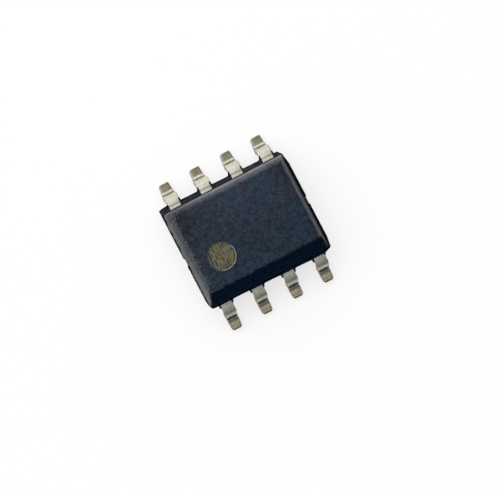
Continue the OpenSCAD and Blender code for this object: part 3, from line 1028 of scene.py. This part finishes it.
def mark_cutter(marks, middle, top, chance):
    """A cutter for the pin 1 mark: a sloping side, and a floor with the broken lines that a laser leaves."""
    radius, floor = marks.diameter / 2.0, top - marks.depth
    reach, ridge = radius + OVERCUT, floor + marks.line_height
    lines = []
    x = -reach
    while x < reach:
        step = marks.line_pitch * chance.uniform(*PITCH_SHARES)
        depth = marks.line_height * chance.uniform(*DEPTH_SHARES)
        lines.append((x, step, depth, broken_line(reach, chance)))
        x += step
    loops = []
    rows = int(2.0 * reach / LINE_SAMPLE)
    for k in range(rows + 1):
        along = k / rows
        loop = [(left + part * step, ridge - deep * depth * strength(along))
                for left, step, depth, strength in lines for part, deep in GROOVE]
        loop += [(x, ridge), (x, top + OVERCUT), (-reach, top + OVERCUT)]
        loops.append([(middle[0] + px, middle[1] + (2.0 * along - 1.0) * reach, pz) for px, pz in loop])
    slab = scratch(loft(loops))
    uneven = [chance.uniform(*RIM_UNEVEN) for _ in range(RIM_SIDES)]
    cone = []
    for z in (floor - OVERCUT, top + OVERCUT / 2.0):
        spokes = [(radius + z - top + wave, 2.0 * math.pi * k / RIM_SIDES) for k, wave in enumerate(uneven)]
        cone.append([(*polar(middle, spoke, turn), z) for spoke, turn in spokes])
    return combine(slab, scratch(loft(cone)), "INTERSECT")


def mark_lines(piece, floor, height):
    """Writes how high each corner of the etched floor lies above its lines."""
    line = piece.data.attributes.new("line", "FLOAT", "POINT")
    for vert, place in zip(piece.data.vertices, line.data):
        place.value = max(0.0, min(1.0, (vert.co.z - floor) / height))


# Gloss of the compound on the top and on the walls
TOP_GLOSS = 0.12
WALL_GLOSS = 0.0
EJECTOR_SIDES = 72


class CHIP_OT_moulded_body(Operator):
    """Make the moulded body with its bevel, flash and marks"""

    bl_idname = "chip.moulded_body"
    bl_label = "Moulded Body"

    def execute(self, context):
        chip = context.scene.chip
        body, leads, marks = Millimetres(chip.body), Millimetres(chip.leads), Millimetres(chip.marks)
        top, bottom = BODY_HIGH.z, BODY_LOW.z
        crest = bevel_crest(body, leads)
        middle = (marks.from_end - body.length / 2.0, marks.from_front - body.width / 2.0)
        mark = (*middle, marks.diameter / 2.0)
        moulding = moulding_finish(chip.finishes, "moulding_compound", TOP_GLOSS, crest, mark)
        wall = moulding_finish(chip.finishes, "wall_compound", WALL_GLOSS, crest, mark)
        resin = flash_finish(chip.finishes)
        piece = scratch(body_core(body, leads), [moulding, wall])
        combine(piece, scratch(body_flash(body, leads), [resin]), "UNION")
        chance = random.Random(BLEED_SEED)
        for node in LEAD_NODES:
            strip = root_resin_and_shade(body, leads, *lead_place(node), chance)
            combine(piece, scratch(strip, [resin]), "UNION")
        cutter = mark_cutter(marks, middle, top, random.Random(MARK_SEED))
        cutter.data.materials.clear()
        cutter.data.materials.append(etched_finish(chip.finishes, mark))
        combine(piece, cutter, "DIFFERENCE")
        levels = (bottom - 2.0 * OVERCUT, bottom + marks.ejector_depth)
        for side in (-1, 1):
            centre = (side * marks.ejector_spacing / 2.0, 0.0)
            ring = circle(centre, marks.ejector_diameter / 2.0, EJECTOR_SIDES)
            pin = scratch(loft([[(x, y, z) for x, y in ring] for z in levels]), [moulding])
            combine(piece, pin, "DIFFERENCE")
        mark_lines(piece, top - marks.depth, marks.line_height)
        finish_piece(piece, "moulded_body", ["mold_body"], BODY_CREASE)
        return {"FINISHED"}


# Leads

# How closely a lead is drawn along its flats, its bends and its toe's corners
STRIP_STEP = 0.02
BEND_STEPS = 30
HEEL_STEPS = 22
TOE_STEPS = 3
# From the body to where the strip is drawn twice as closely, for the witness line
FINE_FROM = 0.08
# How far a step in the strip's width is drawn out, and how far before a stub's end the nick behind it starts
STEP_REACH = 0.024
NICK_START = 0.04
# Points at each rounded edge of the strip
EDGE_STEPS = 4
# How deep the witness line is on the front row, as a share of the back row's
FRONT_LINE = 0.25


def lead_path(leads, half_width, offset):
    """The strip's middle line from inner tip to toe, as (Y, Z, slope), bent further out by the offset."""
    half = leads.thickness / 2.0
    bend_y = half_width + leads.shoulder + offset
    bend_z = FRAME_TOP - leads.bend_radius - leads.thickness
    heel_z = leads.thickness + leads.heel_radius
    both = leads.bend_radius + leads.thickness + leads.heel_radius
    drop = bend_z - heel_z + both * math.cos(leads.leg_slope)
    heel_y = bend_y + both * math.sin(leads.leg_slope) + drop / math.tan(leads.leg_slope)
    tip_y, toe_y = sorted((abs(LEAD_LOW.y), abs(LEAD_HIGH.y)))
    path = []
    y = tip_y
    while y < bend_y - STRIP_STEP / 2.0:
        path.append((y, FRAME_TOP - half, 0.0))
        y += STRIP_STEP / 2.0 if y > half_width + FINE_FROM else STRIP_STEP
    radius = leads.bend_radius + half
    for k in range(BEND_STEPS + 1):
        turn = leads.leg_slope * k / BEND_STEPS
        path.append((bend_y + radius * math.sin(turn), bend_z + radius * math.cos(turn), turn))
    radius = leads.heel_radius + half
    for k in range(HEEL_STEPS + 1):
        turn = leads.leg_slope * (1.0 - k / HEEL_STEPS)
        path.append((heel_y - radius * math.sin(turn), heel_z - radius * math.cos(turn), turn))
    y = heel_y + STRIP_STEP
    while y < toe_y - leads.front_corner:
        path.append((y, half, 0.0))
        y += 2.0 * STRIP_STEP
    for back in range(TOE_STEPS, -1, -1):
        path.append((toe_y - leads.front_corner * back / TOE_STEPS, half, 0.0))
    return path, heel_y, toe_y


def lead_trims(leads, row, right):
    """What was cut off one side of a lead: at the stub, behind it, along the foot and at the toe's corner."""
    if row > 0.0:
        return 0.0, 0.0, 0.0, leads.sharp_corner if right else leads.toe_corner
    if right:
        return leads.far_trim, leads.stub_nick, leads.foot_slim, leads.front_corner
    return leads.near_trim, leads.stub_nick, 0.0, leads.front_corner


def lead_half_width(leads, half_width, tip_y, heel_y, toe_y, y, trims):
    """Half the strip's width at a place along Y, with its steps drawn out and the trims taken off."""

    def step(at, low, high):
        return low + (high - low) * eased((y - at) / STEP_REACH + 0.5)

    trim, nick, slim, corner = trims
    stub = leads.stub_width - 2.0 * trim
    leg = stub - 2.0 * nick
    heel, foot = leads.heel_width - 2.0 * slim, leads.foot_width - 2.0 * slim
    stub_y = half_width + leads.stub_start
    stub_end = stub_y + leads.stub_length
    if y < tip_y + leads.tip_length + STEP_REACH:
        width = step(tip_y + leads.tip_length, leads.tip_width, leads.root_width)
    elif y < stub_end:
        width = step(stub_y, leads.root_width, stub) + step(stub_end - NICK_START, 0.0, leg - stub)
    elif y < heel_y:
        width = leg + (heel - leg) * (y - stub_end) / (heel_y - stub_end)
    else:
        width = heel + (foot - heel) * (y - heel_y) / (toe_y - heel_y)
    return width / 2.0 - max(0.0, y - (toe_y - corner))


def lead_section(leads, half):
    """Points of the strip's section: which side, how far across from that side's edge, and how high."""
    points = []
    upper, lower = leads.upper_edge, leads.lower_edge
    corners = ((1, 1, upper), (-1, 1, upper), (-1, -1, lower), (1, -1, lower))
    for quarter, (sx, sy, radius) in enumerate(corners):
        for x, y in arc((0.0, 0.0), radius, quarter * QUARTER, (quarter + 1) * QUARTER, EDGE_STEPS):
            points.append((sx, x - sx * radius, sy * (half - radius) + y))
    return points


def lead_loops(leads, half_width, middle, row, section):
    """Loops of one lead's skin from its inner tip to its toe, with the line that the forming tool left."""
    path, heel_y, toe_y = lead_path(leads, half_width, leads.back_offset if row > 0.0 else 0.0)
    tip_y = path[0][0]
    line_y = half_width + leads.line_from_body
    line_depth = leads.line_depth * (1.0 if row > 0.0 else FRONT_LINE)
    loops = []
    for y, z, slope in path:
        line_slope = leads.line_fall if y < line_y else leads.line_rise
        dent = line_depth * max(0.0, 1.0 - abs(y - line_y) / line_slope)
        loop = []
        for side, rounding, up in section:
            rise = up - dent if up > 0.0 else up
            out_y = y + rise * math.sin(slope)
            out_z = z + rise * math.cos(slope)
            trims = lead_trims(leads, row, row * side > 0.0)
            across = side * lead_half_width(leads, half_width, tip_y, heel_y, toe_y, out_y, trims) + rounding
            loop.append((middle + row * across, row * out_y, out_z))
        loops.append(loop)
    return loops


class CHIP_OT_leads(Operator):
    """Make the eight formed leads with their plating"""

    bl_idname = "chip.leads"
    bl_label = "Leads"

    def execute(self, context):
        chip = context.scene.chip
        leads = Millimetres(chip.leads)
        half_width = chip.body.width / MM / 2.0
        tin, bare = tin_finish(chip.finishes), copper_finish(chip.finishes, "sheared_copper")
        section = lead_section(leads, leads.thickness / 2.0)
        for node in LEAD_NODES:
            middle, row = lead_place(node)
            loops = lead_loops(leads, half_width, middle, row, section)
            piece = scratch(loft(loops, 1), [tin, bare])
            sides = piece.data.attributes.new("side", "FLOAT", "POINT")
            for place, (side, _, _) in zip(sides.data, section * len(loops)):
                place.value = row * side
            finish_piece(piece, f"formed_{node}", [node], LEAD_CREASE)
        return {"FINISHED"}


# Inner pieces


class CHIP_OT_inner_pieces(Operator):
    """Give the paddle, the die and the wires inside the body their finishes"""

    bl_idname = "chip.inner_pieces"
    bl_label = "Inner Pieces"

    def execute(self, context):
        finishes = context.scene.chip.finishes
        gold = gold_finish(finishes)
        dressed = {
            "die_paddle": copper_finish(finishes, "frame_copper"),
            "die_attach": attach_finish(finishes),
            "silicon_die": silicon_finish(finishes),
        }
        dressed.update({node: gold for node in WIRE_NODES})
        for node, material in dressed.items():
            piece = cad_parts[node]
            if not piece.material_slots:
                piece.data.materials.append(material)
            for place in piece.material_slots:
                place.material = material
        return {"FINISHED"}


# Stage

FLOOR_HALF = 250.0 * MM
# Where the studio is brightest, and how far round towards there its four levels lie
SKY_WAY = (-0.3, 0.85, 0.35)
SKY_STOPS = (0.1, 0.2, 0.67, 0.82)
KEY_WAY = (-0.3, 0.62, 0.75)
KEY_DISTANCE = 250.0 * MM
SENSOR_WIDTH = 36.0
WHITE = (1.0, 1.0, 1.0)


def studio_floor(stage):
    """A pale floor that shows the shadow and stays white around it."""
    material = bpy.data.materials.new("studio_floor")
    tree = Tree(material, "Principled BSDF")
    tree.set("Base Color", stage.floor)
    tree.set("Roughness", 1.0)
    tree.set("Specular IOR Level", 0.0)
    tree.set("Emission Color", WHITE)
    camera, glossy, through = (
        tree.field("LightPath", {}, f"Is {ray} Ray") for ray in ("Camera", "Glossy", "Transmission")
    )
    tree.set("Emission Strength", (camera | glossy | through) * stage.floor_lift)
    mesh = bmesh.new()
    corners = ((-1, -1), (1, -1), (1, 1), (-1, 1))
    mesh.faces.new([mesh.verts.new((x * FLOOR_HALF, y * FLOOR_HALF, 0.0)) for x, y in corners])
    floor = scratch(mesh, [material])
    floor.name = floor.data.name = "studio_floor"
    floor.location.z = CAD_BOX[0][2]


def studio_sky(scene, stage):
    """A soft studio: dim at the front, brighter overhead and brightest at the back."""
    scene.world = bpy.data.worlds.new("studio")
    tree = Tree(scene.world, "Background")
    turn = tree.towards(tree.add("TexCoord", {}, "Generated"), SKY_WAY)
    shown = tree.add("ValToRGB", {"Fac": turn * 0.5 + 0.5}, "Color")
    ramp = shown.node.color_ramp
    ramp.interpolation = "EASE"
    levels = (stage.sky_edge, stage.sky_front, stage.sky_top, stage.sky_back)
    while len(ramp.elements) < len(levels):
        ramp.elements.new(0.5)
    for element, at, level in zip(ramp.elements, SKY_STOPS, levels):
        element.position = at
        element.color = (level, level, level, 1.0)
    tree.set("Color", shown)
    tree.set("Strength", 1.0)


def key_light(scene, stage):
    """One large soft light from the back left."""
    lamp = bpy.data.lights.new("key", "AREA")
    lamp.shape = "SQUARE"
    lamp.size = stage.key_size
    lamp.energy = stage.key_power
    light = bpy.data.objects.new("key", lamp)
    way = Vector(KEY_WAY).normalized()
    light.location = way * KEY_DISTANCE
    light.rotation_euler = way.to_track_quat("Z", "Y").to_euler()
    scene.collection.objects.link(light)


def photo_camera(scene, stage):
    """The camera almost straight above, turned and set off as in the picture."""
    data = bpy.data.cameras.new("camera")
    data.lens = stage.lens
    data.sensor_width = SENSOR_WIDTH
    data.sensor_fit = "HORIZONTAL"
    data.clip_start = MM
    data.clip_end = 2000.0 * MM
    back = Vector((-math.tan(stage.lean_left), -math.tan(stage.lean_front), 1.0)).normalized()
    along = Vector((1.0, 0.0, 0.0))
    along = (along - back * along.dot(back)).normalized()
    up = back.cross(along)
    turn, lift = math.cos(stage.roll), math.sin(stage.roll)
    right = along * turn - up * lift
    above = up * turn + along * lift
    across = stage.distance * SENSOR_WIDTH / stage.lens / IMAGE_SIZE[0]
    shift_right = (IMAGE_SIZE[0] / 2.0 - stage.aim_right) * across
    shift_up = (stage.aim_down - IMAGE_SIZE[1] / 2.0) * across
    camera = bpy.data.objects.new("camera", data)
    rotation = Matrix((right, above, back)).transposed().to_4x4()
    place = back * stage.distance + right * shift_right + above * shift_up
    camera.matrix_world = Matrix.Translation(place) @ rotation
    scene.collection.objects.link(camera)
    scene.camera = camera


class CHIP_OT_stage(Operator):
    """Set up the floor, the light and the camera"""

    bl_idname = "chip.stage"
    bl_label = "Stage"

    def execute(self, context):
        scene, stage = context.scene, context.scene.chip.stage
        scene.view_settings.view_transform = "Standard"
        studio_floor(stage)
        studio_sky(scene, stage)
        key_light(scene, stage)
        photo_camera(scene, stage)
        return {"FINISHED"}


OPERATORS = (CHIP_OT_stage, CHIP_OT_moulded_body, CHIP_OT_leads, CHIP_OT_inner_pieces)


class CHIP_PT_sidebar(Panel):
    """Pieces of the package and the settings they are made from"""

    bl_idname = "CHIP_PT_sidebar"
    bl_label = "Small-Outline Chip"
    bl_space_type = "VIEW_3D"
    bl_region_type = "UI"
    bl_category = "Chip"

    def draw(self, context):
        chip = context.scene.chip
        for operator in OPERATORS:
            self.layout.operator(operator.bl_idname)
        for group in (chip.body, chip.marks, chip.leads, chip.finishes, chip.stage):
            column = self.layout.box().column()
            for name in group.__annotations__:
                column.prop(group, name)


CLASSES = (
    ChipBodySizes, ChipMarkSizes, ChipLeadSizes, ChipFinishes, ChipStageSettings, ChipSettings,
    *OPERATORS, CHIP_PT_sidebar,
)


def register():
    for made in CLASSES:
        bpy.utils.register_class(made)
    bpy.types.Scene.chip = PointerProperty(type=ChipSettings)


def unregister():
    del bpy.types.Scene.chip
    for made in reversed(CLASSES):
        bpy.utils.unregister_class(made)


def main():
    register()
    bpy.ops.chip.stage()
    bpy.ops.chip.moulded_body()
    bpy.ops.chip.leads()
    bpy.ops.chip.inner_pieces()


if __name__ == "__main__":
    main()
